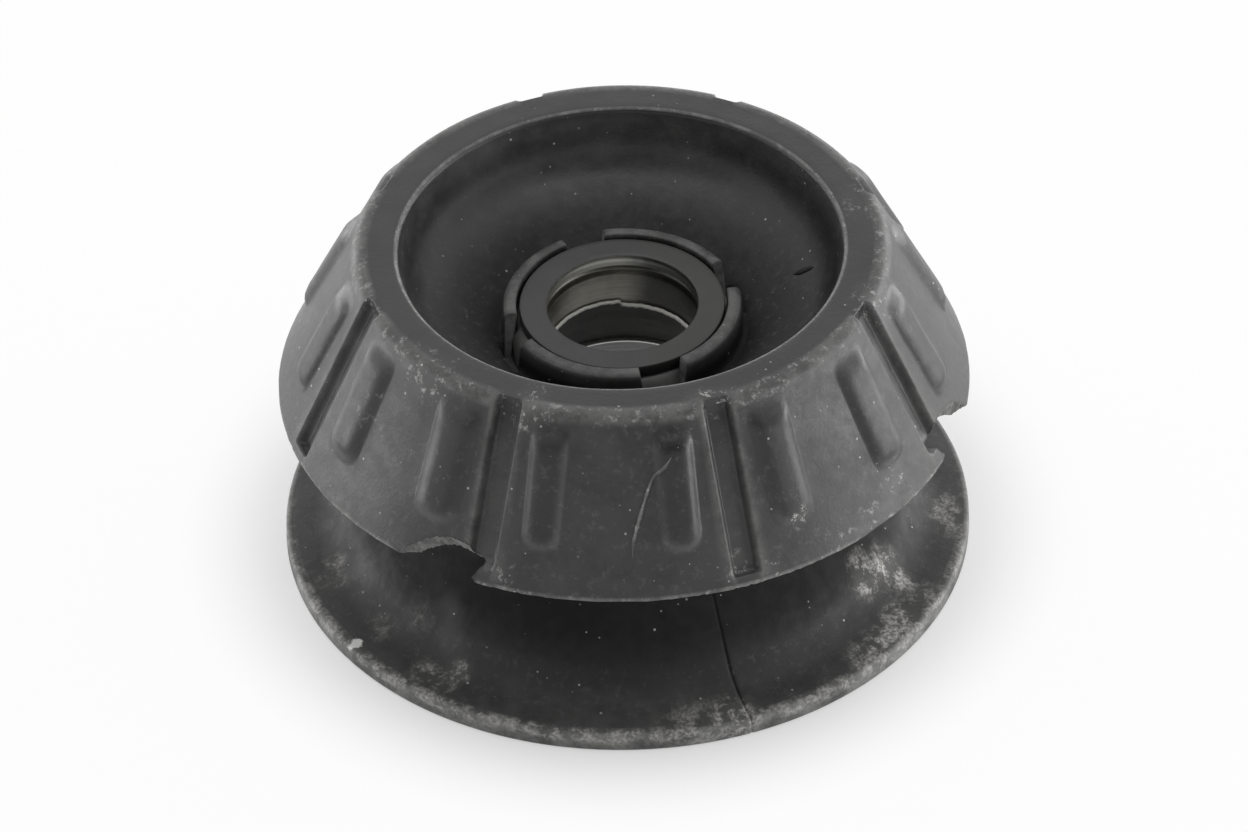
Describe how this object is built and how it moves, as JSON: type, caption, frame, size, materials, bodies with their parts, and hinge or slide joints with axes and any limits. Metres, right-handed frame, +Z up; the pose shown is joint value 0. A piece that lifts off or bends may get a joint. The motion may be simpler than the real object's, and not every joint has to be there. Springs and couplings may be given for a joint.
{
  "type": "strut mount",
  "caption": "Conical black rubber top mount for a suspension strut, bonded to a pressed steel core, with a central bore, a bowl for the nut and a wide lower flange.",
  "frame": {"origin": "on the bore's axis, at the level of the lower flange's underside", "axes": "+Z up the bore from the flange towards the bowl's rim; the mould's parting plane is X = 0; the front, -Y, is the side between the two notches in the skirt"},
  "size_m": [0.1254, 0.1254, 0.065],
  "materials": {
    "rubber": "moulded, satin, dusty",
    "core": "primed black for bonding",
    "sleeve": "turned, slightly dull",
    "washer": "dark phosphate"
  },
  "bodies": {
    "root": {"rubber_body": "rubber", "core_shell": "core", "bore_sleeve": "sleeve", "seat_washer": "washer"}
  },
  "joints": []
}
